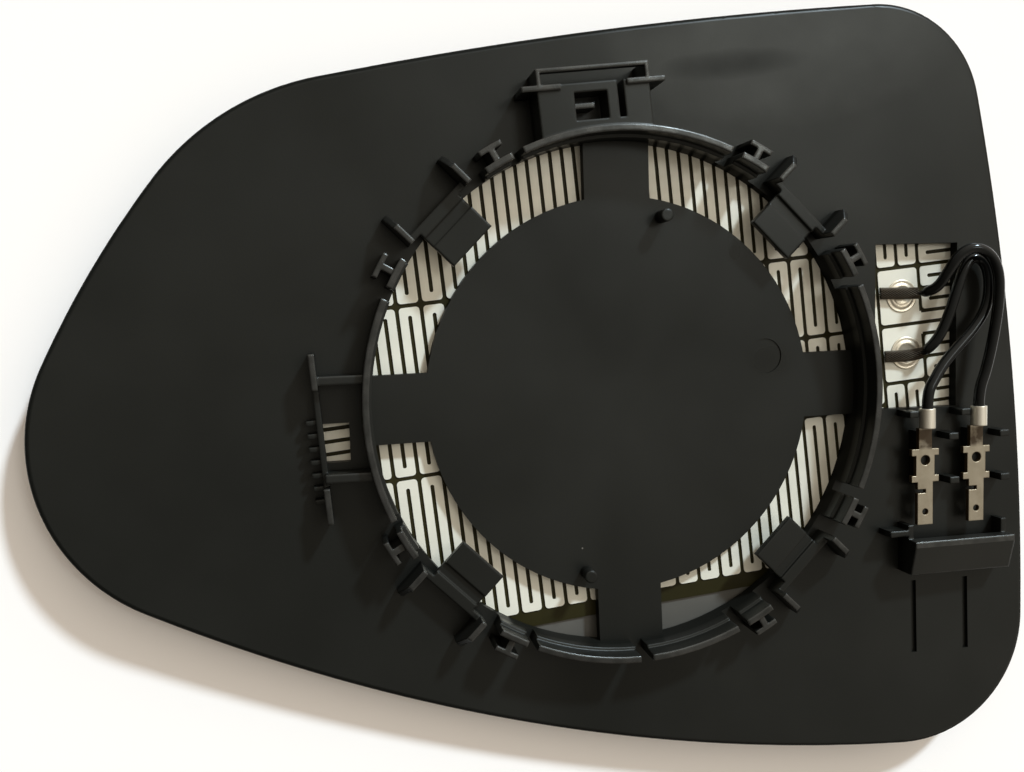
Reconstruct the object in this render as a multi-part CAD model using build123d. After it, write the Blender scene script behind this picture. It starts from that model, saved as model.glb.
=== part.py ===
from build123d import *
import math
import os

# Heated glass of a car's door mirror, lying on its convex face and seen from its back.
# X runs along the heater's rows, Y up the glass and Z out of the back.
# Heights are counted from the back face of the plate on the axis of the actuator ring.
# The finished pieces are lowered so that the origin lies in the seat of that ring.

# Layers, from the back: moulded plate, foil, film and glass, all of one curvature
glass_curvature = 1400.0
plate_thickness = 1.8
foil_thickness = 0.15
film_thickness = 0.25
glass_thickness = 2.0
bond_gap = 0.06

# Outline: its four corners before rounding, the bulge of the sides and the corner radii
top_right_corner = (64.1, 57.4)
top_left_corner = (-55.3, 51.8)
nose_corner = (-97.0, -7.3)
bottom_right_corner = (64.5, -69.2)
top_bulge = 2.8
upper_left_bulge = 4.5
lower_bulge = 13.6
right_bulge = 5.5
top_right_radius = 18.1
top_left_radius = 41.1
nose_radius = 28.3
bottom_right_radius = 21.9

# Rim of the plate round the glass
rim_wall = 1.2
rim_cover = 1.4
glass_clearance = 0.2
back_edge_round = 0.8

# Disc, spokes and windows inside the actuator ring, which is turned against the rows
ring_turn = -5.2
disc_radius = 31.8
spoke_width = 10.7
spoke_turn = 0.6
ring_seat_radius = 40.3
ring_seat_step = 0.5
ring_wall = 1.0
ring_seat_height = 3.9
ring_height = 6.9
segment_half_angle = 23.5
slit_angle = 2.5
stub_angle = 6.5
foot_slit_angle = 2.8
guard_gap = 1.7
guard_wall = 0.8
guard_angle = 5.0
guard_height = 6.4
guard_web = 1.0

# Locating posts and gate mark on the disc
post_radius = 1.0
post_height = 3.5
post_offset_x = 6.9
post_offset_y = 28.4
gate_radius = 2.9
gate_depth = 0.2
gate_x = 24.5
gate_y = 5.4

# Four clips between the ring's segments: a low wall, two fins and a tongue over the window
clip_play = 0.2
clip_wall = 1.0
clip_length = 13.2
clip_height = 3.7
fin_thickness = 0.9
fin_reach = 4.6
fin_height = 6.4
fin_end_height = 3.4
fin_end_slope = 2.2
tongue_width = 8.4
tongue_reach = 6.9
tongue_thickness = 1.2
tongue_groove_width = 1.8
tongue_groove_depth = 0.5
tongue_groove_back = 0.9

# Top bracket: block with a hook pocket, a ridge that juts out at each side and a bar on two legs
bracket_left = -9.9
bracket_right = 7.6
bracket_front = 48.3
bracket_height = 6.6
bracket_ridge = 0.8
bracket_ridge_out = 2.4
bracket_ridge_in = 3.6
bracket_bar = 0.6
bracket_bar_depth = 1.3
bracket_bar_gap = 1.8
bracket_bar_height = 7.0
pocket_left = -4.3
pocket_width = 5.1
pocket_inner = 42.8
pocket_length = 4.1
pocket_floor = 2.2
hook_width = 3.2
hook_thickness = 0.8
hook_height = 5.9
hook_back = 1.5
bracket_slot_x = 3.0
bracket_slot_width = 1.0
bracket_slot_floor = 3.4

# Side bracket: leaning wall with a tall post at each end, arms to the ring, a comb and an opening
side_wall_x = -49.3
side_wall_top = 8.8
side_wall_lean = 4.0
side_wall_length = 25.5
side_wall = 0.9
side_wall_height = 3.4
side_post_length = 5.4
side_post_height = 5.6
side_arm = 1.3
side_arm_height = 5.2
side_arm_y = 4.8
side_foot_y = -9.8
side_opening_x = -45.8
side_opening_y = -5.0
side_opening_width = 4.2
side_opening_length = 6.0
comb_count = 7
comb_pitch = 2.0
comb_start = 10.0
comb_reach = 1.5
comb_thickness = 0.7
comb_height = 3.0

# Window over the heater's pads
pad_window_left = 44.2
pad_window_right = 59.0
pad_window_bottom = -4.5
pad_window_top = 23.3

# Blade terminals, in the turned frame, and the rails that they lie on
terminal_left_x = 51.45
terminal_spacing = 9.6
terminal_level = 3.2
terminal_sheet = 0.8
barrel_radius = 1.3
barrel_end = -4.3
barrel_length = 3.3
neck_width = 2.4
shoulder_width = 5.0
shoulder_depth = 1.1
upper_shoulder_y = -11.2
lower_shoulder_y = -15.7
body_width = 3.4
body_hole_radius = 0.87
body_hole_y = -13.1
notch_y = -18.0
notch_length = 0.7
notch_width = 1.5
blade_width = 2.8
blade_tip = -24.1
blade_hole_radius = 0.55
blade_hole_y = -21.9
rail_width = 2.2
rail_top = -8.2
rail_bottom = -17.4

# Posts that keep the terminals in line, as offsets from each terminal's axis
keeper_length = 1.7
keeper_thickness = 1.1
keeper_height = 4.6
keeper_near_x = -2.4
keeper_near_y = -5.2
keeper_far_x = 4.9
keeper_far_y = -9.2
keeper_low_x = 5.1
keeper_low_y = -16.7

# Hood that keeps the plug, in front of the blades' tips, and the plug's two guide grooves
hood_left = 48.2
hood_right = 66.7
hood_mouth_y = -26.4
hood_length = 5.9
hood_height = 6.4
hood_tail_height = 5.0
hood_wall = 1.0
hood_floor = 0.6
hood_cheek_reach = 2.4
hood_cheek_height = 4.2
hood_ear_reach = 3.4
hood_ear_height = 4.4
hood_ear_forward = 1.6
groove_width = 1.0
groove_depth = 0.6
groove_gap = 2.1
groove_length = 12.6
groove_offset = -0.5

# Heater: rows of foil, their pitch and the gaps between the strips
strip_pitch = 1.93
column_pitch = 1.962
strip_gap = 0.62
first_gap_x = 0.56
first_gap = -21
last_row_gap = 24
last_gap = 28
middle_row_y = 5.04
upper_row_y = 18.54
lower_row_y = -8.32
bottom_row_y = -33.44
pad_rows = 5
column_rows = 20
column_right = 62.5
return_left = -72.0
return_rows = 8
film_inset = 3.2
film_border = 2.2

# Joints of the leads on the heater's pads
joint_radius = 2.8
joint_thickness = 0.3
joint_x = 51.2

# Leads: their diameter and their routes from the pads to the barrels
lead_diameter = 1.8
lead_in = 2.6
arc_share = 0.45
upper_route = [
    (46.9, 10.9, 0.5),
    (51.2, 10.4, 0.5),
    (54.2, 10.1, 1.3),
    (55.7, 10.9, 3.0),
    (57.0, 13.7, 4.4),
    (58.5, 16.0, 5.2),
    (61.0, 16.9, 5.7),
    (63.7, 15.4, 5.8),
    (65.1, 12.3, 5.7),
    (64.9, 7.5, 5.5),
    (63.6, 1.3, 5.1),
    (62.1, -4.0, 4.7),
]
lower_route = [
    (46.9, 0.1, 0.4),
    (50.8, -0.3, 0.4),
    (53.6, 0.3, 1.3),
    (55.5, 2.3, 2.3),
    (57.5, 6.4, 2.9),
    (59.1, 10.6, 3.2),
    (60.4, 13.4, 3.3),
    (61.8, 15.0, 3.3),
    (63.5, 14.9, 3.3),
    (64.8, 13.2, 3.3),
    (65.0, 10.0, 3.3),
    (64.1, 6.3, 3.3),
    (61.4, 3.2, 3.4),
    (58.2, 0.7, 3.6),
    (54.9, -1.9, 3.9),
    (52.6, -4.4, 4.3),
]

quarter_turn = 90.0
reach = max(abs(value) for value in nose_corner)
foot_level = -plate_thickness
plate_relief = plate_thickness / 2
foil_level = plate_thickness + bond_gap
film_level = foil_level + foil_thickness + bond_gap
glass_level = film_level + film_thickness + bond_gap
ring_bore = ring_seat_radius + ring_seat_step
ring_outer = ring_bore + ring_wall
in_ring = Rot(0, 0, ring_turn)
in_seat = Pos(0, 0, -ring_seat_height)


def ball(depth):
    """The ball whose surface lies at a depth under the back face of the plate."""
    return Pos(0, 0, glass_curvature) * Rot(90, 0, 0) * Sphere(glass_curvature + depth)


def layer(profile, top, bottom):
    """A curved layer between two depths, cut to a profile."""
    return (extrude(profile, reach, both=True) & ball(bottom)) - ball(top)


def area(left, right, bottom, top):
    """A rectangle from its sides."""
    return Pos((left + right) / 2, (bottom + top) / 2) * Rectangle(right - left, top - bottom)


def upright(profile, top):
    """A profile raised from inside the plate to a height."""
    return extrude(Pos(0, 0, foot_level) * profile, top - foot_level)


def block(left, right, bottom, top, height):
    """An upright box from its sides."""
    return upright(area(left, right, bottom, top), height)


def wedge(start, end):
    """A sector wide enough to part the ring."""
    far = 2 * ring_outer
    middle = (start + end) / 2
    rays = [Vector(far, 0).rotate(Axis.Z, turn) for turn in (start, middle, end)]
    return make_face(Polyline((0, 0), *rays, close=True))


# Outline of the plate
outline = make_face([
    SagittaArc(top_right_corner, top_left_corner, -top_bulge),
    SagittaArc(top_left_corner, nose_corner, -upper_left_bulge),
    SagittaArc(nose_corner, bottom_right_corner, -lower_bulge),
    SagittaArc(bottom_right_corner, top_right_corner, -right_bulge),
])
for corner, corner_radius in (
    (top_right_corner, top_right_radius),
    (top_left_corner, top_left_radius),
    (nose_corner, nose_radius),
    (bottom_right_corner, bottom_right_radius),
):
    outline = fillet(outline.vertices().sort_by_distance(corner)[:1], corner_radius)
glass_outline = offset(outline, -rim_wall - glass_clearance)

# Mirror glass
mirror_glass = layer(glass_outline, glass_level, glass_level + glass_thickness)

# Heater film, which stops a border below the last row
film_end = bottom_row_y - film_border
film_area = offset(outline, -film_inset) & area(-2 * reach, 2 * reach, film_end, 2 * reach)
heater_film = layer(film_area, film_level, film_level + film_thickness)

# Heater foil: one long strip, folded to and fro in four rows
half_gap = strip_gap / 2
strip = strip_pitch - strip_gap
gap_x = {k: first_gap_x + strip_pitch * k for k in range(first_gap, last_gap + 1)}
row_left = gap_x[first_gap]
row_right = gap_x[last_row_gap]
pad_right = gap_x[last_gap]
top_row_y = middle_row_y + column_rows * column_pitch
pad_top_y = middle_row_y + pad_rows * column_pitch
pad_bottom_y = middle_row_y - pad_rows * column_pitch
return_top = middle_row_y + return_rows * strip_pitch - half_gap
return_bottom = middle_row_y - return_rows * strip_pitch + half_gap
foil_area = (
    area(row_left, column_right, bottom_row_y + half_gap, top_row_y - half_gap)
    + area(return_left, row_left, return_bottom, return_top)
)


def upright_gap(x, bottom, top):
    return area(x - half_gap, x + half_gap, bottom, top)


def level_gap(y, left, right):
    return area(left, right, y - half_gap, y + half_gap)


gaps = [
    level_gap(upper_row_y, row_left, row_right + half_gap),
    level_gap(lower_row_y, row_left, row_right + half_gap),
    level_gap(middle_row_y, return_left - strip, gap_x[last_row_gap - 1] + half_gap),
    level_gap(middle_row_y, row_right, column_right + strip),
    level_gap(pad_top_y, row_right, pad_right + half_gap),
    level_gap(pad_bottom_y, row_right, pad_right + half_gap),
    upright_gap(row_right, lower_row_y, upper_row_y),
    upright_gap(pad_right, middle_row_y + column_pitch, pad_top_y),
    upright_gap(pad_right, pad_bottom_y, middle_row_y - column_pitch),
    upright_gap(row_left, middle_row_y + strip_pitch, upper_row_y),
    upright_gap(row_left, lower_row_y, middle_row_y - strip_pitch),
]
fold = half_gap + strip
for k, x in gap_x.items():
    beside_pads = k > last_row_gap
    upper_y = pad_top_y if beside_pads else upper_row_y
    lower_y = pad_bottom_y if beside_pads else lower_row_y
    if k % 2 == 0:
        gaps.append(upright_gap(x, upper_y, top_row_y - fold))
        gaps.append(upright_gap(x, bottom_row_y + fold, lower_y))
    else:
        gaps.append(upright_gap(x, upper_y + fold, top_row_y))
        gaps.append(upright_gap(x, bottom_row_y, lower_y - fold))
    if first_gap < k < last_row_gap:
        if k % 2 == 0:
            gaps.append(upright_gap(x, middle_row_y + fold, upper_row_y))
            gaps.append(upright_gap(x, lower_row_y, middle_row_y - fold))
        else:
            gaps.append(upright_gap(x, lower_row_y + fold, upper_row_y - fold))
for j in range(1, column_rows):
    for y in (middle_row_y + column_pitch * j, middle_row_y - column_pitch * j):
        if j % 2:
            gaps.append(level_gap(y, pad_right, column_right - strip))
        else:
            gaps.append(level_gap(y, pad_right + fold, column_right + strip))
for j in range(1, return_rows):
    for y in (middle_row_y + strip_pitch * j, middle_row_y - strip_pitch * j):
        if j % 2:
            gaps.append(level_gap(y, return_left + strip, row_left))
        else:
            gaps.append(level_gap(y, return_left - strip, row_left - fold))
heater_track = layer(foil_area - gaps, foil_level, foil_level + foil_thickness)

# Joints on the two pads
joint_upper_y = (middle_row_y + pad_top_y) / 2
joint_lower_y = (middle_row_y + pad_bottom_y) / 2
joint_level = foil_level - joint_thickness
contact_upper = layer(Pos(joint_x, joint_upper_y) * Circle(joint_radius), joint_level, foil_level)
contact_lower = layer(Pos(joint_x, joint_lower_y) * Circle(joint_radius), joint_level, foil_level)

# Plate with its rim, whose back edge is rounded
plate = layer(outline, 0, plate_thickness)
back_face = plate.faces().filter_by(GeomType.SPHERE).sort_by(Axis.Z)[-1]
plate = fillet(back_face.outer_wire().edges(), back_edge_round)
rim = layer(outline - offset(outline, -rim_wall), plate_thickness / 2, glass_level + rim_cover)
plate = plate + rim

# Ring wall: segments, stubs and slits, with a seat for the actuator below its upper stretch
ring_partings = []
for quarter in range(4):
    middle = quarter * quarter_turn
    slit_start = middle + segment_half_angle
    stub_start = slit_start + slit_angle
    stub_end = stub_start + stub_angle
    next_stub = middle + quarter_turn - segment_half_angle - slit_angle - stub_angle
    ring_partings.append(wedge(slit_start, stub_start))
    ring_partings.append(wedge(stub_end, next_stub))
    ring_partings.append(wedge(next_stub + stub_angle, next_stub + stub_angle + slit_angle))
ring_partings.append(wedge(-quarter_turn, foot_slit_angle - quarter_turn))
ring_foot_plan = Circle(ring_outer) - Circle(ring_seat_radius) - ring_partings
ring_rim_plan = Circle(ring_outer) - Circle(ring_bore) - ring_partings
features = [
    upright(ring_foot_plan, ring_seat_height),
    extrude(Pos(0, 0, ring_seat_height) * ring_rim_plan, ring_height - ring_seat_height),
]

# Guards: a second wall outside each stub, tied to it by a web
guard_inner = ring_outer + guard_gap
guard_outer = guard_inner + guard_wall
guard_plan = (Circle(guard_outer) - Circle(guard_inner)) & wedge(-guard_angle / 2, guard_angle / 2)
guard_plan += area(ring_bore, guard_inner + guard_wall / 2, -guard_web / 2, guard_web / 2)
guard = upright(guard_plan, guard_height)
stub_middle = segment_half_angle + slit_angle + stub_angle / 2
for quarter in range(4):
    for side in (1, -1):
        features.append(Rot(0, 0, quarter * quarter_turn + side * stub_middle) * guard)

# Clips: a low wall with a fin at each end, and a grooved tongue that reaches over the window
clip_inner = ring_bore + clip_play
clip_outer = clip_inner + clip_wall
fin_y = (clip_length - fin_thickness) / 2
fin_profile = make_face(Polyline(
    (clip_inner, foot_level),
    (clip_outer + fin_reach, foot_level),
    (clip_outer + fin_reach, fin_end_height),
    (clip_outer + fin_reach - fin_end_slope, fin_height),
    (clip_inner, fin_height),
    close=True,
))
fin = extrude(Plane.XZ * fin_profile, fin_thickness / 2, both=True)
tongue = Pos(clip_outer, 0, clip_height) * Box(
    tongue_reach + clip_wall, tongue_width, tongue_thickness, align=(Align.MAX, Align.CENTER, Align.MAX)
)
tongue -= Pos(clip_inner - tongue_groove_back, 0, clip_height) * Box(
    tongue_groove_width, tongue_width, 2 * tongue_groove_depth, align=(Align.MAX, Align.CENTER, Align.CENTER)
)
clip = [
    block(clip_inner, clip_outer, -clip_length / 2, clip_length / 2, clip_height),
    Pos(0, fin_y, 0) * fin,
    Pos(0, -fin_y, 0) * fin,
    tongue,
]
for quarter in range(4):
    turn = Rot(0, 0, quarter_turn * (quarter + 0.5))
    features += [turn * piece for piece in clip]

# Locating posts on the disc
for side in (1, -1):
    place = Pos(side * post_offset_x, side * post_offset_y)
    features.append(upright(place * Circle(post_radius), post_height))

# Side bracket, whose wall leans in towards its lower end
in_wall = Pos(side_wall_x, side_wall_top) * Rot(0, 0, side_wall_lean)
lower_post = side_post_length - side_wall_length


def side_arm_at(y):
    """An arm of the side bracket, from its wall to the ring."""
    wall_x = side_wall_x + (side_wall_top - y) * math.tan(math.radians(side_wall_lean))
    arm = area(wall_x + side_wall / 2, 0, y - side_arm / 2, y + side_arm / 2) - Circle(ring_bore)
    return upright(arm, side_arm_height)


features += [
    in_wall * block(0, side_wall, -side_wall_length, 0, side_wall_height),
    in_wall * block(0, side_wall, -side_post_length, 0, side_post_height),
    in_wall * block(0, side_wall, -side_wall_length, lower_post, side_post_height),
    side_arm_at(side_arm_y),
    side_arm_at(side_foot_y),
]
for rib in range(comb_count):
    rib_y = -comb_start - rib * comb_pitch
    features.append(in_wall * block(-comb_reach, side_wall / 2, rib_y - comb_thickness, rib_y, comb_height))

# Rails and keepers under and beside the terminals
terminal_axes = (terminal_left_x, terminal_left_x + terminal_spacing)
for axis_x in terminal_axes:
    rail_left = axis_x - rail_width / 2
    features.append(block(rail_left, rail_left + rail_width, rail_bottom, rail_top, terminal_level))
    for keeper_x, keeper_y in (
        (keeper_near_x, keeper_near_y),
        (keeper_far_x, keeper_far_y),
        (keeper_low_x, keeper_low_y),
    ):
        keeper = Pos(axis_x + keeper_x, keeper_y) * Rectangle(keeper_length, keeper_thickness)
        features.append(upright(keeper, keeper_height))

# Hood: roof, side walls that reach forward, and an ear at its left
hood_tail_y = hood_mouth_y - hood_length
hood_profile = make_face(Polyline(
    (hood_mouth_y, foot_level),
    (hood_mouth_y, hood_height),
    (hood_mouth_y - hood_wall, hood_height),
    (hood_tail_y, hood_tail_height),
    (hood_tail_y, foot_level),
    close=True,
))
hood = Pos(hood_left, 0, 0) * extrude(Plane.YZ * hood_profile, hood_right - hood_left)
hood_room = extrude(
    Pos(0, 0, hood_floor) * area(hood_left + hood_wall, hood_right - hood_wall, hood_tail_y, hood_mouth_y),
    hood_tail_height - hood_wall - hood_floor,
)
cheek_top = hood_mouth_y + hood_cheek_reach
ear_top = hood_mouth_y + hood_ear_forward
features += [
    hood - hood_room,
    block(hood_left, hood_left + hood_wall, hood_mouth_y, cheek_top, hood_cheek_height),
    block(hood_right - hood_wall, hood_right, hood_mouth_y, cheek_top, hood_cheek_height),
    block(hood_left - hood_ear_reach, hood_left, ear_top - hood_wall, ear_top, hood_ear_height),
]

# Top bracket, which follows the glass and not the ring
bracket_inner = math.sqrt(ring_seat_radius ** 2 - bracket_left ** 2)
bar_back = bracket_front + bracket_bar_gap
bar_front = bar_back + bracket_bar
ridge_back = bracket_front - bracket_ridge
bar_level = bracket_bar_height - bracket_bar_depth
top_bracket = [
    block(bracket_left, bracket_right, bracket_inner, bracket_front, bracket_height),
    block(bracket_left - bracket_ridge_out, bracket_left + bracket_ridge_in,
          ridge_back, bracket_front, bracket_bar_height),
    block(bracket_right - bracket_ridge_in, bracket_right + bracket_ridge_out,
          ridge_back, bracket_front, bracket_bar_height),
    block(bracket_left, bracket_left + bracket_bar, ridge_back, bar_front, bracket_bar_height),
    block(bracket_right - bracket_bar, bracket_right, ridge_back, bar_front, bracket_bar_height),
    extrude(Pos(0, 0, bar_level) * area(bracket_left, bracket_right, bar_back, bar_front), bracket_bar_depth),
]
pocket_right = pocket_left + pocket_width
pocket_front = pocket_inner + pocket_length
pocket_area = area(pocket_left, pocket_right, pocket_inner, pocket_front)
pocket = Pos(0, 0, pocket_floor) * extrude(pocket_area, reach)
slot_left = bracket_slot_x - bracket_slot_width / 2
slot_area = area(slot_left, slot_left + bracket_slot_width, pocket_inner, bracket_front)
slot = Pos(0, 0, bracket_slot_floor) * extrude(slot_area, reach)
hook_front = pocket_front - hook_back
hook = block(pocket_left, pocket_left + hook_width, hook_front - hook_thickness, hook_front, hook_height)
bracket = top_bracket[0].fuse(*top_bracket[1:]) - extrude(Circle(ring_bore), reach) - pocket - slot + hook

# The whole moulding: features rooted in the plate, then windows, grooves and the gate mark
raised = (in_ring * features[0]).fuse(*[in_ring * piece for piece in features[1:]], bracket)
backing_plate = plate + (raised & ball(plate_thickness / 2))
spokes = Rectangle(2 * ring_seat_radius, spoke_width) + Rectangle(spoke_width, 2 * ring_seat_radius)
windows = Circle(ring_seat_radius) - Circle(disc_radius) - Rot(0, 0, spoke_turn) * spokes
side_opening = Pos(side_opening_x, side_opening_y) * Rectangle(side_opening_width, side_opening_length)
pad_window = area(pad_window_left, pad_window_right, pad_window_bottom, pad_window_top)
for hole in (windows, side_opening, pad_window):
    backing_plate -= in_ring * layer(hole, -plate_relief, plate_thickness + plate_relief)
groove_top = hood_tail_y - groove_gap
for axis_x in terminal_axes:
    groove_left = axis_x + groove_offset - groove_width / 2
    groove = area(groove_left, groove_left + groove_width, groove_top - groove_length, groove_top)
    backing_plate -= in_ring * layer(groove, -groove_depth, groove_depth)
backing_plate -= in_ring * layer(Pos(gate_x, gate_y) * Circle(gate_radius), -gate_depth, gate_depth)


def terminal(axis_x):
    """A stamped blade terminal: crimp barrel, neck, shouldered body and blade."""
    plan = [
        area(-neck_width / 2, neck_width / 2, upper_shoulder_y, barrel_end - barrel_length),
        area(-body_width / 2, body_width / 2, lower_shoulder_y, upper_shoulder_y),
        area(-shoulder_width / 2, shoulder_width / 2, upper_shoulder_y - shoulder_depth, upper_shoulder_y),
        area(-shoulder_width / 2, shoulder_width / 2, lower_shoulder_y - shoulder_depth, lower_shoulder_y),
        area(-blade_width / 2, blade_width / 2, blade_tip, lower_shoulder_y),
    ]
    notch = area(-blade_width, notch_width - blade_width / 2, notch_y - notch_length, notch_y)
    sheet = Sketch() + plan
    sheet -= Pos(0, body_hole_y) * Circle(body_hole_radius)
    sheet -= Pos(0, blade_hole_y) * Circle(blade_hole_radius)
    sheet -= notch
    flat = extrude(Pos(0, 0, terminal_level) * sheet, terminal_sheet)
    barrel_axis = terminal_level + barrel_radius
    barrel_plane = Plane.XZ.offset(-barrel_end)
    barrel = extrude(barrel_plane * Pos(0, barrel_axis) * Circle(barrel_radius), barrel_length)
    return in_ring * (Pos(axis_x, 0, 0) * (flat + barrel))


blade_terminal_left = terminal(terminal_axes[0])
blade_terminal_right = terminal(terminal_axes[1])


def lead(route, axis_x):
    """A round lead along its route to the end of a terminal's barrel."""
    barrel_axis = terminal_level + barrel_radius
    last_run = [
        (in_ring * Pos(axis_x, barrel_end + lead_in, barrel_axis)).position,
        (in_ring * Pos(axis_x, barrel_end, barrel_axis)).position,
    ]
    points = [Vector(*point) for point in route] + last_run
    radii = []
    for before, here, after in zip(points, points[1:], points[2:]):
        turn = math.radians((here - before).get_angle(after - here))
        shorter = min((here - before).length, (after - here).length)
        radii.append(arc_share * shorter / math.tan(turn / 2))
    print("lead radii", [round(radius, 1) for radius in radii])
    path = FilletPolyline(*points, radius=radii)
    section = Plane(origin=path @ 0, z_dir=path % 0) * Circle(lead_diameter / 2)
    tube = sweep(section, path=path)
    expected = math.pi * (lead_diameter / 2) ** 2 * path.length
    print("lead length", round(path.length, 1), "volume share", round(tube.volume / expected, 4))
    return tube


lead_upper = lead(upper_route, terminal_axes[1])
lead_lower = lead(lower_route, terminal_axes[0])

os.makedirs("parts", exist_ok=True)
for node, solid in (
    ("mirror_glass", mirror_glass),
    ("heater_film", heater_film),
    ("heater_track", heater_track),
    ("backing_plate", backing_plate),
    ("contact_upper", contact_upper),
    ("contact_lower", contact_lower),
    ("lead_upper", lead_upper),
    ("lead_lower", lead_lower),
    ("blade_terminal_left", blade_terminal_left),
    ("blade_terminal_right", blade_terminal_right),
):
    export_step(in_seat * solid, f"parts/{node}.step")
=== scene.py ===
import math
import bmesh
import bpy
from mathutils import Matrix, Vector


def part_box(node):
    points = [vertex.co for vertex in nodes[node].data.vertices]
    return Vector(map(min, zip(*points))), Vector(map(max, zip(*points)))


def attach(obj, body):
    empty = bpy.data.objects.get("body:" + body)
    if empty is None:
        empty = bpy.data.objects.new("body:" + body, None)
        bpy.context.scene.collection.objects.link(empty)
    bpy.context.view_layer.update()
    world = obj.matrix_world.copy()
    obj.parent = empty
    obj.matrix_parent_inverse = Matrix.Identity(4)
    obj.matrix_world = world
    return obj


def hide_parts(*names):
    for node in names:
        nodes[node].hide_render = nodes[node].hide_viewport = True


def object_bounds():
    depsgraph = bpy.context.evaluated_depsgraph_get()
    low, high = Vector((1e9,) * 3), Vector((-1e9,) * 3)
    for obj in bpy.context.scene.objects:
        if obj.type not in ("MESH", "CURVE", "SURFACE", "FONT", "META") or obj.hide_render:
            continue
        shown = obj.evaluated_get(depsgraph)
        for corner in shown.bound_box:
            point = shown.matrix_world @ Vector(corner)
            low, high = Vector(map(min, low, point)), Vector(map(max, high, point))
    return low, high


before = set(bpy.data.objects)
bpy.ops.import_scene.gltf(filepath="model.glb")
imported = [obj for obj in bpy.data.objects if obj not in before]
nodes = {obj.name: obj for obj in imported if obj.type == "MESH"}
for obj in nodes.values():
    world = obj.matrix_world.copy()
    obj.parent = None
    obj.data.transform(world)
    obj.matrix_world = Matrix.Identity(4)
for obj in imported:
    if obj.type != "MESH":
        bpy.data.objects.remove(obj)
cad_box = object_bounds()

# Mirror glass: a convex glass, silvered behind and sealed there with a grey lacquer.
# It lies face down, and its back shows in the windows of the plate below the heater.
# The silvered side is clean and bright, the lacquer dull with a soft mottle.


def finish_material(name):
    """A new material with its node tree and its shader."""
    material = bpy.data.materials.new(name)
    material.use_nodes = True
    return material, material.node_tree, material.node_tree.nodes["Principled BSDF"]


def add(tree, kind, inputs=None, **settings):
    """A new node with its settings, and its inputs set or linked."""
    node = tree.nodes.new(kind)
    for key, value in settings.items():
        setattr(node, key, value)
    for key, value in (inputs or {}).items():
        if isinstance(value, bpy.types.NodeSocket):
            tree.links.new(value, node.inputs[key])
        else:
            node.inputs[key].default_value = value
    return node


def blend_colour(tree, factor, first, second):
    """The colour between two others, by a factor."""
    return add(tree, "ShaderNodeMix", {0: factor, 6: first, 7: second}, data_type="RGBA").outputs[2]


def spread(tree, value, low, high, start, end):
    """A value taken from one range to another."""
    inputs = {"Value": value, "From Min": low, "From Max": high, "To Min": start, "To Max": end}
    return add(tree, "ShaderNodeMapRange", inputs).outputs["Result"]


def dress(node, material):
    """A solid of the frame takes a material."""
    nodes[node].data.materials.clear()
    nodes[node].data.materials.append(material)


def shared_effect(name, inputs, outputs):
    """An empty shader group with its sockets, its input node and its output node."""
    tree = bpy.data.node_groups.new(name, "ShaderNodeTree")
    for label, value in inputs.items():
        socket = tree.interface.new_socket(name=label, in_out="INPUT", socket_type="NodeSocketFloat")
        socket.default_value = value
    for label, kind in outputs.items():
        tree.interface.new_socket(name=label, in_out="OUTPUT", socket_type=kind)
    return tree, tree.nodes.new("NodeGroupInput"), tree.nodes.new("NodeGroupOutput")


def effect(tree, group, **values):
    """A shared effect placed in a material with its own values."""
    node = tree.nodes.new("ShaderNodeGroup")
    node.node_tree = group
    for label, value in values.items():
        node.inputs[label.replace("_", " ").capitalize()].default_value = value
    return node.outputs


# Mottle: soft patches and a fine grain, both fixed to the piece
mottle, given, out = shared_effect(
    "mottle",
    {"Patch scale": 90.0, "Grain scale": 2500.0},
    {"Patches": "NodeSocketFloat", "Grain": "NodeSocketFloat"},
)
place = add(mottle, "ShaderNodeTexCoord").outputs["Object"]
patches = add(mottle, "ShaderNodeTexNoise", {
    "Vector": place, "Scale": given.outputs["Patch scale"], "Detail": 3.0, "Roughness": 0.55,
})
grain = add(mottle, "ShaderNodeTexNoise", {
    "Vector": place, "Scale": given.outputs["Grain scale"], "Detail": 2.0, "Roughness": 0.6,
})
mottle.links.new(patches.outputs["Fac"], out.inputs["Patches"])
mottle.links.new(grain.outputs["Fac"], out.inputs["Grain"])

silvered_glass, tree, shader = finish_material("silvered_glass")
spots = effect(tree, mottle, patch_scale=60.0, grain_scale=1800.0)
normal_up = add(tree, "ShaderNodeSeparateXYZ", {"Vector": add(tree, "ShaderNodeTexCoord").outputs["Normal"]})
lacquered = spread(tree, normal_up.outputs["Z"], -0.2, 0.2, 0.0, 1.0)
lacquer = blend_colour(tree, spots["Patches"], (0.060, 0.061, 0.055, 1), (0.110, 0.111, 0.102, 1))
tree.links.new(blend_colour(tree, lacquered, (0.80, 0.81, 0.81, 1), lacquer), shader.inputs["Base Color"])
tree.links.new(spread(tree, lacquered, 0.0, 1.0, 1.0, 0.0), shader.inputs["Metallic"])
tree.links.new(spread(tree, lacquered, 0.0, 1.0, 0.03, 0.32), shader.inputs["Roughness"])
dress("mirror_glass", silvered_glass)

# Heater film: a thin olive brown carrier film glued to the back of the glass.
# It shows as dark lines between the strips of foil, a little glossy and uneven
# where the glue shines through.

olive_film, tree, shader = finish_material("olive_film")
spots = effect(tree, mottle, patch_scale=220.0, grain_scale=3000.0)
tone = blend_colour(tree, spots["Patches"], (0.013, 0.012, 0.003, 1), (0.026, 0.023, 0.006, 1))
tree.links.new(tone, shader.inputs["Base Color"])
tree.links.new(spread(tree, spots["Grain"], 0.3, 0.7, 0.40, 0.55), shader.inputs["Roughness"])
shader.inputs["Specular IOR Level"].default_value = 0.15
dress("heater_film", olive_film)

# Heater foil: aluminium foil etched into one long strip that folds to and fro.
# It is satin, slightly yellowed and rolled along one way, with faint rubbed lines.
# The etching leaves its folds round, inside and outside.

inner_fold_radius = 0.00029
outer_fold_radius = 0.00055
fold_steps = 4

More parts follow.
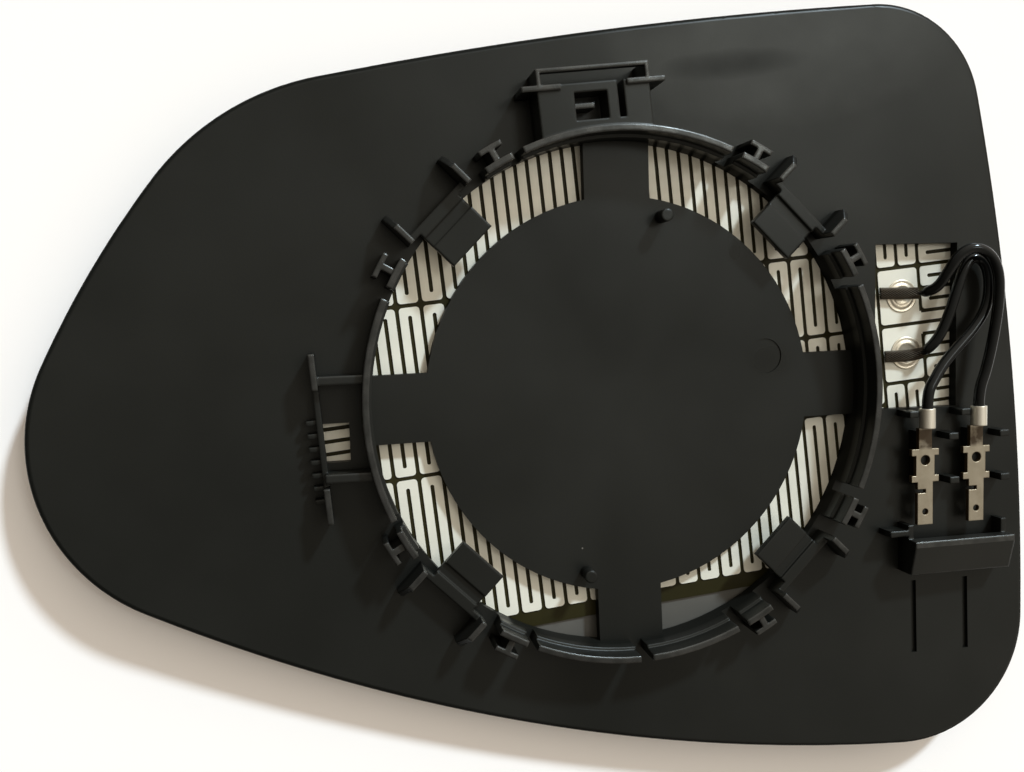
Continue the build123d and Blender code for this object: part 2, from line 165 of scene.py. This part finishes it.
etched_foil, tree, shader = finish_material("etched_foil")
spots = effect(tree, mottle, patch_scale=150.0, grain_scale=2200.0)
place = add(tree, "ShaderNodeTexCoord").outputs["Object"]
rolled = add(tree, "ShaderNodeMapping", {"Vector": place, "Scale": (60.0, 2600.0, 60.0)}).outputs["Vector"]
rolling = add(tree, "ShaderNodeTexNoise", {"Vector": rolled, "Scale": 1.0, "Detail": 2.0}).outputs["Fac"]
tone = blend_colour(tree, spots["Patches"], (0.65, 0.661, 0.572, 1), (0.88, 0.894, 0.80, 1))
tree.links.new(tone, shader.inputs["Base Color"])
shader.inputs["Metallic"].default_value = 0.15
tree.links.new(spread(tree, rolling, 0.3, 0.7, 0.36, 0.50), shader.inputs["Roughness"])
lines = add(tree, "ShaderNodeBump", {"Height": rolling, "Strength": 0.15, "Distance": 0.00002})
tree.links.new(lines.outputs["Normal"], shader.inputs["Normal"])


def fold_corners(sheet, outer, radius):
    """The upright edges at the outer or the inner corners of the folds that have room for a radius."""
    chosen = []
    for edge in sheet.edges:
        first, last = edge.verts
        upright = abs(first.co.z - last.co.z) > 0.9 * edge.calc_length()
        if not upright or edge.is_convex != outer or abs(edge.calc_face_angle(0.0)) < math.radians(60):
            continue
        sides = [side.calc_length() for end in edge.verts for side in end.link_edges if side is not edge]
        if min(sides) >= 2 * radius:
            chosen.append(edge)
    return chosen


sheet = bmesh.new()
sheet.from_mesh(nodes["heater_track"].data)
sheet.transform(nodes["heater_track"].matrix_world)
bmesh.ops.remove_doubles(sheet, verts=sheet.verts, dist=1e-7)
bmesh.ops.dissolve_limit(sheet, angle_limit=math.radians(2), verts=sheet.verts, edges=sheet.edges)
for outer, radius in ((False, inner_fold_radius), (True, outer_fold_radius)):
    sheet.normal_update()
    bmesh.ops.bevel(
        sheet, geom=fold_corners(sheet, outer, radius), offset=radius, offset_type="OFFSET",
        segments=fold_steps, profile=0.5, affect="EDGES", clamp_overlap=False,
    )
foil_mesh = bpy.data.meshes.new("folded_foil")
sheet.to_mesh(foil_mesh)
sheet.free()
foil_mesh.shade_smooth()
foil_mesh.set_sharp_from_angle(angle=math.radians(40))
foil_mesh.materials.append(etched_foil)
foil = bpy.data.objects.new("folded_foil", foil_mesh)
bpy.context.scene.collection.objects.link(foil)
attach(foil, "root")
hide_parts("heater_track")

# Backing plate: one black moulding with its ring, clips, brackets, posts and hood.
# It has a fine dull grain, corners rounded a little by the tool and worn smooth, tall tops and corners
# painted lighter as a painted highlight with wear, a few specks of dust, a greasy area with a smear, and finger
# marks that shine.


def along_with(tree, first, second):
    """How far two directions go together."""
    node = add(tree, "ShaderNodeVectorMath", {0: first, 1: second}, operation="DOT_PRODUCT")
    return node.outputs["Value"]


# Rounded corners: the normal that a small rounding would give, and where it turns
rounded, given, out = shared_effect(
    "rounded_corners",
    {"Radius": 0.0002},
    {"Normal": "NodeSocketVector", "Corner": "NodeSocketFloat"},
)
turned = add(rounded, "ShaderNodeBevel", {"Radius": given.outputs["Radius"]}, samples=8).outputs["Normal"]
flat = add(rounded, "ShaderNodeNewGeometry").outputs["Normal"]
agreement = along_with(rounded, turned, flat)
rounded.links.new(turned, out.inputs["Normal"])
rounded.links.new(spread(rounded, agreement, 0.98, 0.75, 0.0, 1.0), out.inputs["Corner"])


def work_out(tree, operation, *values):
    """The result of a sum on values or sockets."""
    return add(tree, "ShaderNodeMath", dict(enumerate(values)), operation=operation).outputs[0]


# Specks: a few grains of dust, each a small dot
bare_share = 0.93
specks, given, out = shared_effect(
    "dust_specks",
    {"Spacing scale": 160.0, "Size": 0.03},
    {"Dust": "NodeSocketFloat"},
)
place = add(specks, "ShaderNodeTexCoord").outputs["Object"]
cells = add(specks, "ShaderNodeTexVoronoi", {"Vector": place, "Scale": given.outputs["Spacing scale"]})
chosen = add(specks, "ShaderNodeSeparateColor", {"Color": cells.outputs["Color"]}).outputs["Red"]
near = work_out(specks, "LESS_THAN", cells.outputs["Distance"], given.outputs["Size"])
few = work_out(specks, "GREATER_THAN", chosen, bare_share)
specks.links.new(work_out(specks, "MULTIPLY", near, few), out.inputs["Dust"])

# Finger mark: a soft oval at a place on the piece
finger_mark, given, out = shared_effect(
    "finger_mark",
    {"Middle x": 0.0, "Middle y": 0.0, "Half width": 0.01, "Half height": 0.003, "Raggedness": 0.5},
    {"Mark": "NodeSocketFloat"},
)
place = add(finger_mark, "ShaderNodeTexCoord").outputs["Object"]
split = add(finger_mark, "ShaderNodeSeparateXYZ", {"Vector": place}).outputs
across = []
for axis, middle, half in (("X", "Middle x", "Half width"), ("Y", "Middle y", "Half height")):
    offset = work_out(finger_mark, "SUBTRACT", split[axis], given.outputs[middle])
    share = work_out(finger_mark, "DIVIDE", offset, given.outputs[half])
    across.append(work_out(finger_mark, "POWER", share, 2.0))
squared = work_out(finger_mark, "ADD", *across)
streaks = add(finger_mark, "ShaderNodeTexNoise", {"Vector": place, "Scale": 260.0, "Detail": 3.0})
ragged = work_out(finger_mark, "MULTIPLY", streaks.outputs["Fac"], given.outputs["Raggedness"])
edge = work_out(finger_mark, "ADD", squared, ragged)
finger_mark.links.new(spread(finger_mark, edge, 0.2, 1.3, 1.0, 0.0), out.inputs["Mark"])

glass_curvature = 1.4
plate_back = -0.0039
bracket_height = 0.0066
corner_radius = 0.0005
raised_from, raised_to = plate_back + 0.0012, plate_back + 0.0028
tall_from, tall_to = 0.0048, 0.0056
top_from, top_to = 0.0050, 0.0055
# Lighter tone of the tall tops and corners: a painted highlight, with some wear
highlight_and_wear_colour = (0.023, 0.023, 0.022, 1)
dust_colour = (0.22, 0.21, 0.19, 1)
finger_marks = ((0.0262, 0.0023, 0.0050, 0.0036), (0.0214, 0.0210, 0.0016, 0.0026))
smear_place = (0.0238, 0.0503, 0.0135, 0.0027)
greasy_place = (0.0335, 0.0530, 0.0300, 0.0130)


def marked(tree, place, raggedness):
    """How much of a mark lies at each point, by its middle and its half sizes."""
    middle_x, middle_y, half_width, half_height = place
    return effect(
        tree, finger_mark, middle_x=middle_x, middle_y=middle_y,
        half_width=half_width, half_height=half_height, raggedness=raggedness,
    )["Mark"]


black_moulding, tree, shader = finish_material("black_moulding")
spots = effect(tree, mottle, patch_scale=45.0, grain_scale=3200.0)
corners = effect(tree, rounded, radius=corner_radius)
dust = effect(tree, specks, spacing_scale=210.0, size=0.030)["Dust"]
tone = blend_colour(tree, spots["Patches"], (0.0056, 0.0061, 0.0053, 1), (0.0094, 0.0101, 0.0090, 1))

# What stands up from the curved plate, and how high
place = add(tree, "ShaderNodeTexCoord").outputs["Object"]
out_from_axis = along_with(tree, place, place)
rise = work_out(tree, "MULTIPLY", out_from_axis, -0.5 / glass_curvature)
level = add(tree, "ShaderNodeSeparateXYZ", {"Vector": place}).outputs["Z"]
height = work_out(tree, "ADD", level, rise)
raised = spread(tree, height, raised_from, raised_to, 0.0, 1.0)
above = work_out(tree, "SUBTRACT", level, plate_back)

# Tall tops and corners, apart from the block of the upper bracket, lightened unevenly as a painted highlight
# with wear
tall = spread(tree, above, tall_from, tall_to, 0.0, 1.0)
from_block = work_out(tree, "SUBTRACT", above, bracket_height)
off_block = work_out(tree, "ABSOLUTE", from_block)
thin = spread(tree, off_block, 0.00008, 0.00012, 0.0, 1.0)
exposed = work_out(tree, "MULTIPLY", tall, thin)
facing = add(tree, "ShaderNodeNewGeometry").outputs["Normal"]
facing_up = add(tree, "ShaderNodeSeparateXYZ", {"Vector": facing}).outputs["Z"]
upward = spread(tree, facing_up, 0.975, 0.99, 0.0, 1.0)
topmost = work_out(tree, "MULTIPLY", upward, spread(tree, above, top_from, top_to, 0.0, 1.0))
highlight_and_wear_patches = effect(tree, mottle, patch_scale=420.0, grain_scale=3000.0)["Patches"]
uneven = spread(tree, highlight_and_wear_patches, 0.35, 0.65, 0.35, 1.0)
top_highlight_and_wear = work_out(tree, "MULTIPLY", topmost, uneven)
highlight_and_wear = work_out(tree, "MAXIMUM", top_highlight_and_wear, corners["Corner"])
highlit_and_rubbed = work_out(tree, "MULTIPLY", highlight_and_wear, exposed)
# Painted highlight with wear: the tall tops and corners are blended towards the lighter tone
tone = blend_colour(tree, spread(tree, highlit_and_rubbed, 0.0, 1.0, 0.0, 0.9), tone, highlight_and_wear_colour)
tone = blend_colour(tree, spread(tree, dust, 0.0, 1.0, 0.0, 0.5), tone, dust_colour)
tree.links.new(tone, shader.inputs["Base Color"])

# Finger marks and worn places are smoother
roughness = spread(tree, spots["Patches"], 0.3, 0.7, 0.31, 0.38)
for mark in finger_marks:
    change = work_out(tree, "MULTIPLY", marked(tree, mark, 0.6), -0.12)
    roughness = work_out(tree, "ADD", roughness, change)
polish = work_out(tree, "MULTIPLY", highlit_and_rubbed, -0.09)
roughness = work_out(tree, "ADD", roughness, polish)
tree.links.new(roughness, shader.inputs["Roughness"])

# Gloss: cloudy, stronger where the plate is worn or greasy, weaker in the smear and at its outer edge
clouds = effect(tree, mottle, patch_scale=26.0, grain_scale=900.0)["Patches"]
low = spread(tree, raised, 0.0, 1.0, 1.0, 0.0)
low_edge = work_out(tree, "MULTIPLY", low, spread(tree, facing_up, 0.99, 0.93, 0.0, 1.0))
gloss = spread(tree, highlit_and_rubbed, 0.0, 1.0, 0.265, 0.62)
for share in (
    spread(tree, clouds, 0.35, 0.65, 0.84, 1.2),
    spread(tree, marked(tree, greasy_place, 0.5), 0.0, 1.0, 1.0, 1.65),
    spread(tree, marked(tree, smear_place, 0.8), 0.0, 1.0, 1.0, 0.45),
    spread(tree, low_edge, 0.0, 1.0, 1.0, 0.08),
):
    gloss = work_out(tree, "MULTIPLY", gloss, share)
tree.links.new(gloss, shader.inputs["Specular IOR Level"])
shader.inputs["Specular Tint"].default_value = (0.92, 1.0, 0.99, 1)

# Only what stands up has rounded corners, and all has the grain
turned = add(tree, "ShaderNodeMix", {0: raised, 4: facing, 5: corners["Normal"]}, data_type="VECTOR")
skin = add(tree, "ShaderNodeBump", {
    "Height": spots["Grain"], "Strength": 0.18, "Distance": 0.00004, "Normal": turned.outputs[1],
})
tree.links.new(skin.outputs["Normal"], shader.inputs["Normal"])
dress("backing_plate", black_moulding)

# Joints on the heater: a thin tinned disc pressed over the end of each lead.
# A raised ring runs round its dished middle.

disc_radius = 0.0028
disc_profile = (
    (0.0000, 0.00010), (0.0013, 0.00011), (0.0015, 0.00020), (0.0017, 0.00029), (0.0019, 0.00029),
    (0.0021, 0.00018), (0.0022, 0.00010), (0.0024, 0.00010), (0.0026, 0.00018), (0.0027, 0.00016),
    (disc_radius, 0.00008), (disc_radius, 0.0),
)
disc_height = max(height for radius, height in disc_profile)
disc_turns = 72

tinned_disc, tree, shader = finish_material("tinned_disc")
spots = effect(tree, mottle, patch_scale=700.0, grain_scale=5000.0)
tone = blend_colour(tree, spots["Patches"], (0.60, 0.56, 0.43, 1), (0.86, 0.84, 0.74, 1))
tree.links.new(tone, shader.inputs["Base Color"])
shader.inputs["Metallic"].default_value = 0.75
tree.links.new(spread(tree, spots["Grain"], 0.3, 0.7, 0.26, 0.42), shader.inputs["Roughness"])


def pressed_disc(name, node):
    """A disc turned from its profile, laid where its solid is."""
    low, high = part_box(node)
    middle = (low + high) / 2
    shell = bmesh.new()
    angles = [2 * math.pi * k / disc_turns for k in range(disc_turns)]
    rings = []
    for radius, height in disc_profile[1:]:
        rings.append([shell.verts.new((radius * math.cos(a), radius * math.sin(a), height)) for a in angles])
    top = shell.verts.new((0, 0, disc_profile[0][1]))
    for k in range(disc_turns):
        following = (k + 1) % disc_turns
        shell.faces.new((top, rings[0][k], rings[0][following]))
        for inner, outer in zip(rings, rings[1:]):
            shell.faces.new((inner[k], outer[k], outer[following], inner[following]))
    shell.faces.new(list(reversed(rings[-1])))
    axis = Vector((-middle.x, -middle.y, glass_curvature)).normalized()
    lean = Vector((0, 0, 1)).rotation_difference(axis).to_matrix().to_4x4()
    shell.transform(Matrix.Translation((middle.x, middle.y, middle.z - disc_height / 2)) @ lean)
    mesh = bpy.data.meshes.new(name)
    shell.to_mesh(mesh)
    shell.free()
    mesh.shade_smooth()
    piece = bpy.data.objects.new(name, mesh)
    bpy.context.scene.collection.objects.link(piece)
    mesh.materials.append(tinned_disc)
    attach(piece, "root")
    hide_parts(node)


pressed_disc("joint_disc_upper", "contact_upper")
pressed_disc("joint_disc_lower", "contact_lower")

# Heater leads: stranded wire in a black extruded sleeve, stripped where it lies on its joint.
# Each goes up in a loop and down into the crimp of its terminal, held only at its two ends.
# The bare strands are twisted, tinned and browned by the flux.

lead_diameter = 0.0018
strand_radius = 0.00015
strand_count = 14
bare_length = 0.0066
bundle_radius = 0.00085
bundle_turns = 0.8
bundle_flatness = 0.22
upper_route = (
    (0.0469, 0.0109, -0.0041, 0.3), (0.0512, 0.0104, -0.0040, 0.3), (0.0536, 0.01015, -0.0029, 0.3),
    (0.0542, 0.0101, -0.0026, 1), (0.0557, 0.0109, -0.0009, 1), (0.0570, 0.0137, 0.0005, 1),
    (0.0585, 0.0160, 0.0013, 1), (0.0610, 0.0169, 0.0018, 1), (0.0637, 0.0154, 0.0019, 1),
    (0.0651, 0.0123, 0.0018, 1), (0.0649, 0.0075, 0.0016, 1), (0.0636, 0.0013, 0.0012, 1),
    (0.0621, -0.0040, 0.0008, 1), (0.0606446, -0.0072261, 0.0006, 1), (0.060409, -0.0098154, 0.0006, 1),
)
lower_route = (
    (0.0469, 0.0001, -0.0042, 0.3), (0.0508, -0.0003, -0.0041, 0.3), (0.0530, 0.0000, -0.0028, 0.3),
    (0.0536, 0.0003, -0.0026, 1), (0.0555, 0.0023, -0.0016, 1), (0.0575, 0.0064, -0.0010, 1),
    (0.0591, 0.0106, -0.0007, 1), (0.0604, 0.0134, -0.0006, 1), (0.0618, 0.0150, -0.0006, 1),
    (0.0635, 0.0149, -0.0006, 1), (0.0648, 0.0132, -0.0006, 1), (0.0650, 0.0100, -0.0006, 1),
    (0.0641, 0.0063, -0.0006, 1), (0.0614, 0.0032, -0.0005, 1), (0.0582, 0.0007, -0.0003, 1),
    (0.0549, -0.0019, 0.0000, 1), (0.0526, -0.0044, 0.0004, 1), (0.0510841, -0.0063561, 0.0006, 1),
    (0.0508485, -0.0089454, 0.0006, 1),
)

lead_sleeve, tree, shader = finish_material("lead_sleeve")
spots = effect(tree, mottle, patch_scale=350.0, grain_scale=4000.0)
tone = blend_colour(tree, spots["Patches"], (0.0036, 0.0037, 0.0034, 1), (0.0062, 0.0064, 0.0059, 1))
tree.links.new(tone, shader.inputs["Base Color"])
tree.links.new(spread(tree, spots["Patches"], 0.3, 0.7, 0.12, 0.17), shader.inputs["Roughness"])
shader.inputs["Specular IOR Level"].default_value = 0.27
shader.inputs["Specular Tint"].default_value = (0.84, 0.94, 1.0, 1)
skin = add(tree, "ShaderNodeBump", {"Height": spots["Grain"], "Strength": 0.12, "Distance": 0.00003})
tree.links.new(skin.outputs["Normal"], shader.inputs["Normal"])

bare_strands, tree, shader = finish_material("bare_strands")
spots = effect(tree, mottle, patch_scale=900.0, grain_scale=5000.0)
tone = blend_colour(tree, spots["Patches"], (0.007, 0.005, 0.002, 1), (0.052, 0.040, 0.024, 1))
tree.links.new(tone, shader.inputs["Base Color"])
shader.inputs["Metallic"].default_value = 0.7
tree.links.new(spread(tree, spots["Grain"], 0.3, 0.7, 0.38, 0.55), shader.inputs["Roughness"])

# Strands: a bundle twisted round the bare end of a route, pressed a little flat
strands = bpy.data.node_groups.new("twisted_strands", "GeometryNodeTree")
for label, kind in (
    ("Geometry", "NodeSocketGeometry"), ("Strand count", "NodeSocketInt"), ("Strand radius", "NodeSocketFloat"),
    ("Bundle radius", "NodeSocketFloat"), ("Turns", "NodeSocketFloat"), ("Flatness", "NodeSocketFloat"),
    ("Bare length", "NodeSocketFloat"), ("Finish", "NodeSocketMaterial"),
):
    strands.interface.new_socket(name=label, in_out="INPUT", socket_type=kind)
strands.interface.new_socket(name="Geometry", in_out="OUTPUT", socket_type="NodeSocketGeometry")
given, out = strands.nodes.new("NodeGroupInput"), strands.nodes.new("NodeGroupOutput")
bare = add(strands, "GeometryNodeTrimCurve", {
    0: given.outputs["Geometry"], 4: 0.0, 5: given.outputs["Bare length"],
}, mode="LENGTH")
even = add(strands, "GeometryNodeResampleCurve", {"Curve": bare.outputs[0], "Count": 60})
bundle = add(strands, "GeometryNodeDuplicateElements", {
    "Geometry": even.outputs[0], "Amount": given.outputs["Strand count"],
}, domain="SPLINE")
along = add(strands, "GeometryNodeSplineParameter").outputs["Factor"]
lap = work_out(strands, "MULTIPLY", along, given.outputs["Turns"])
start = work_out(strands, "DIVIDE", bundle.outputs["Duplicate Index"], given.outputs["Strand count"])
turn = work_out(strands, "ADD", lap, start)
angle = work_out(strands, "MULTIPLY", turn, 2 * math.pi)
sideways = work_out(strands, "COSINE", angle)
upwards = work_out(strands, "MULTIPLY", work_out(strands, "SINE", angle), given.outputs["Flatness"])
ring_place = add(strands, "ShaderNodeCombineXYZ", {"Y": sideways, "Z": upwards}).outputs[0]
shift = add(strands, "ShaderNodeVectorMath", {
    0: ring_place, "Scale": given.outputs["Bundle radius"],
}, operation="SCALE").outputs[0]
laid = add(strands, "GeometryNodeSetPosition", {"Geometry": bundle.outputs[0], "Offset": shift})
section = add(strands, "GeometryNodeCurvePrimitiveCircle", {
    "Resolution": 8, "Radius": given.outputs["Strand radius"],
})
drawn = add(strands, "GeometryNodeCurveToMesh", {
    "Curve": laid.outputs[0], "Profile Curve": section.outputs[0], "Fill Caps": True,
})
whole = add(strands, "GeometryNodeRealizeInstances", {"Geometry": drawn.outputs[0]})
coated = add(strands, "GeometryNodeSetMaterial", {
    "Geometry": whole.outputs[0], "Material": given.outputs["Finish"],
})
strands.links.new(coated.outputs[0], out.inputs["Geometry"])


def route_curve(name, route):
    """A smooth curve with the route's points as its control points."""
    curve = bpy.data.curves.new(name, "CURVE")
    curve.dimensions = "3D"
    curve.resolution_u = 12
    spline = curve.splines.new("NURBS")
    spline.points.add(len(route) - 1)
    for point, (x, y, z, share) in zip(spline.points, route):
        point.co = (x, y, z, 1)
        point.radius = share
    spline.order_u = 3
    spline.use_endpoint_u = True
    piece = bpy.data.objects.new(name, curve)
    bpy.context.scene.collection.objects.link(piece)
    return piece


def heater_lead(name, route, node):
    """A sleeved lead with its bare strands, from its joint to its terminal."""
    core = route_curve(name + "_core", route)
    twist = core.modifiers.new("twist", "NODES")
    twist.node_group = strands
    sockets = {item.name: item.identifier for item in strands.interface.items_tree if item.in_out == "INPUT"}
    for label, value in (
        ("Strand count", strand_count), ("Strand radius", strand_radius), ("Bundle radius", bundle_radius),
        ("Turns", bundle_turns), ("Flatness", bundle_flatness), ("Bare length", bare_length),
        ("Finish", bare_strands),
    ):
        twist[sockets[label]] = value
    bundle_mesh = bpy.data.meshes.new_from_object(core.evaluated_get(bpy.context.evaluated_depsgraph_get()))
    bpy.data.objects.remove(core)
    bundle_mesh.name = name + "_strands"
    bundle_mesh.shade_smooth()
    bundle = bpy.data.objects.new(name + "_strands", bundle_mesh)
    bpy.context.scene.collection.objects.link(bundle)
    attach(bundle, "root")
    lead = route_curve(name, route)
    lead.data.bevel_depth = lead_diameter / 2
    lead.data.bevel_resolution = 5
    lead.data.use_fill_caps = True
    lead.data.materials.append(lead_sleeve)
    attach(lead, "root")
    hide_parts(node)


heater_lead("sleeved_lead_upper", upper_route, "lead_upper")
heater_lead("sleeved_lead_lower", lower_route, "lead_lower")

# Blade terminals: stamped from tinned brass strip, with a crimp that grips the lead.
# The tin is dull and pale, browned at the cut edges and drawn with fine lines along the blade.

terminal_axis = (0.0906, 0.9959, 0.0)
barrel_foot = (-0.0080, -0.0074)
body_top = (-0.0114, -0.0108)

tinned_sheet, tree, shader = finish_material("tinned_sheet")
spots = effect(tree, mottle, patch_scale=420.0, grain_scale=4000.0)
corners = effect(tree, rounded, radius=0.00022)
place = add(tree, "ShaderNodeTexCoord").outputs["Object"]
drawn_out = add(tree, "ShaderNodeMapping", {"Vector": place, "Scale": (3600.0, 130.0, 130.0)}).outputs["Vector"]
drawing = add(tree, "ShaderNodeTexNoise", {"Vector": drawn_out, "Scale": 1.0, "Detail": 2.0}).outputs["Fac"]
tone = blend_colour(tree, spots["Patches"], (0.25, 0.225, 0.165, 1), (0.42, 0.39, 0.31, 1))
along = along_with(tree, place, terminal_axis)
below_barrel = spread(tree, along, *barrel_foot, 1.0, 0.0)
above_body = spread(tree, along, *body_top, 0.0, 1.0)
crimped = work_out(tree, "MULTIPLY", below_barrel, above_body)
facing = add(tree, "ShaderNodeNewGeometry").outputs["Normal"]
facing = add(tree, "ShaderNodeSeparateXYZ", {"Vector": facing}).outputs["Z"]
sheared = work_out(tree, "MULTIPLY", spread(tree, facing, 0.3, 0.6, 1.0, 0.0), below_barrel)
# Brown stain in the crimp, darkened further as painted shade of its folded tabs
stain_and_fold_shade = work_out(tree, "MULTIPLY", crimped, spread(tree, spots["Patches"], 0.45, 0.62, 0.95, 0.4))
# The crimp barrels are painted paler than the sheet: a painted highlight
tone = blend_colour(tree, below_barrel, (0.74, 0.72, 0.62, 1), tone)
tone = blend_colour(tree, stain_and_fold_shade, tone, (0.045, 0.032, 0.020, 1))
tone = blend_colour(tree, spread(tree, sheared, 0.0, 1.0, 0.0, 0.85), tone, (0.10, 0.062, 0.022, 1))
tone = blend_colour(tree, spread(tree, corners["Corner"], 0.0, 1.0, 0.0, 0.4), tone, (0.20, 0.14, 0.07, 1))
tree.links.new(tone, shader.inputs["Base Color"])
shader.inputs["Metallic"].default_value = 0.8
tree.links.new(spread(tree, drawing, 0.3, 0.7, 0.30, 0.46), shader.inputs["Roughness"])
lines = add(tree, "ShaderNodeBump", {
    "Height": drawing, "Strength": 0.15, "Distance": 0.00002, "Normal": corners["Normal"],
})
tree.links.new(lines.outputs["Normal"], shader.inputs["Normal"])
dress("blade_terminal_left", tinned_sheet)
dress("blade_terminal_right", tinned_sheet)

# Table: a plain white surface that the glass lies on, face down.

table_level = cad_box[0].z - 0.00002
table_half = 3.0
table_corners = [
    (x * table_half, y * table_half, table_level) for x, y in ((-1, -1), (1, -1), (1, 1), (-1, 1))
]
table_mesh = bpy.data.meshes.new("table")
table_mesh.from_pydata(table_corners, [], [(0, 1, 2, 3)])
table = bpy.data.objects.new("table", table_mesh)
bpy.context.scene.collection.objects.link(table)
white_table, tree, shader = finish_material("white_table")
spots = effect(tree, mottle, patch_scale=6.0, grain_scale=900.0)
tone = blend_colour(tree, spots["Patches"], (0.955, 0.955, 0.95, 1), (0.975, 0.975, 0.97, 1))
tree.links.new(tone, shader.inputs["Base Color"])
shader.inputs["Roughness"].default_value = 0.9
shader.inputs["Specular IOR Level"].default_value = 0.1
table_mesh.materials.append(white_table)

# Light: a key from the upper right, a weak lamp overhead and a warm room, which grows brighter
# towards the key and has a low window at the lower right.

key_side = Vector((0.517, 0.691, 0.505))
lamp_side = Vector((0.43, 0.18, 0.885))
window_side = Vector((0.45, -0.80, 0.40))
room_level = 0.183
room_growth = 8.2
key_data = bpy.data.lights.new("key", "SUN")
key_data.energy = 3.42
key_data.angle = math.radians(5.5)
key_data.color = (0.80, 0.91, 1.0)
key = bpy.data.objects.new("key", key_data)
key.rotation_euler = key_side.to_track_quat("Z", "Y").to_euler()
bpy.context.scene.collection.objects.link(key)

lamp_data = bpy.data.lights.new("ceiling_lamp", "SUN")
lamp_data.energy = 0.23
lamp_data.angle = math.radians(12)
lamp_data.color = (1.0, 0.99, 0.94)
lamp = bpy.data.objects.new("ceiling_lamp", lamp_data)
lamp.rotation_euler = lamp_side.to_track_quat("Z", "Y").to_euler()
bpy.context.scene.collection.objects.link(lamp)

room = bpy.data.worlds.new("room")
bpy.context.scene.world = room
room.use_nodes = True
tree = room.node_tree
tree.nodes.clear()
toward = add(tree, "ShaderNodeTexCoord").outputs["Generated"]
to_key = along_with(tree, toward, key_side)
growth = work_out(tree, "POWER", room_growth, to_key)
level = work_out(tree, "MULTIPLY", growth, room_level)
to_window = along_with(tree, toward, window_side)
window = spread(tree, to_window, 0.75, 0.97, 0.0, 0.4)
level = work_out(tree, "ADD", level, window)
warm = add(tree, "ShaderNodeBackground", {"Color": (1.0, 0.86, 0.71, 1), "Strength": level})
pale = add(tree, "ShaderNodeBackground", {"Color": (0.97, 0.965, 0.955, 1), "Strength": 1.0})
seen = add(tree, "ShaderNodeLightPath").outputs["Is Camera Ray"]
sky = add(tree, "ShaderNodeMixShader", {0: seen, 1: warm.outputs[0], 2: pale.outputs[0]})
sky_out = tree.nodes.new("ShaderNodeOutputWorld")
tree.links.new(sky.outputs[0], sky_out.inputs["Surface"])
bpy.context.scene.view_settings.view_transform = "Standard"

# Camera: held above the back of the mirror, a little to the left.

eye_data = bpy.data.cameras.new("eye")
eye_data.sensor_width = 36
eye_data.lens = 33.40
eye_data.clip_start = 0.005
eye = bpy.data.objects.new("eye", eye_data)
eye.location = (-0.04372, 0.01859, 0.14311)
eye.rotation_euler = (-0.0754, -0.1848, -0.1232)
bpy.context.scene.collection.objects.link(eye)
bpy.context.scene.camera = eye
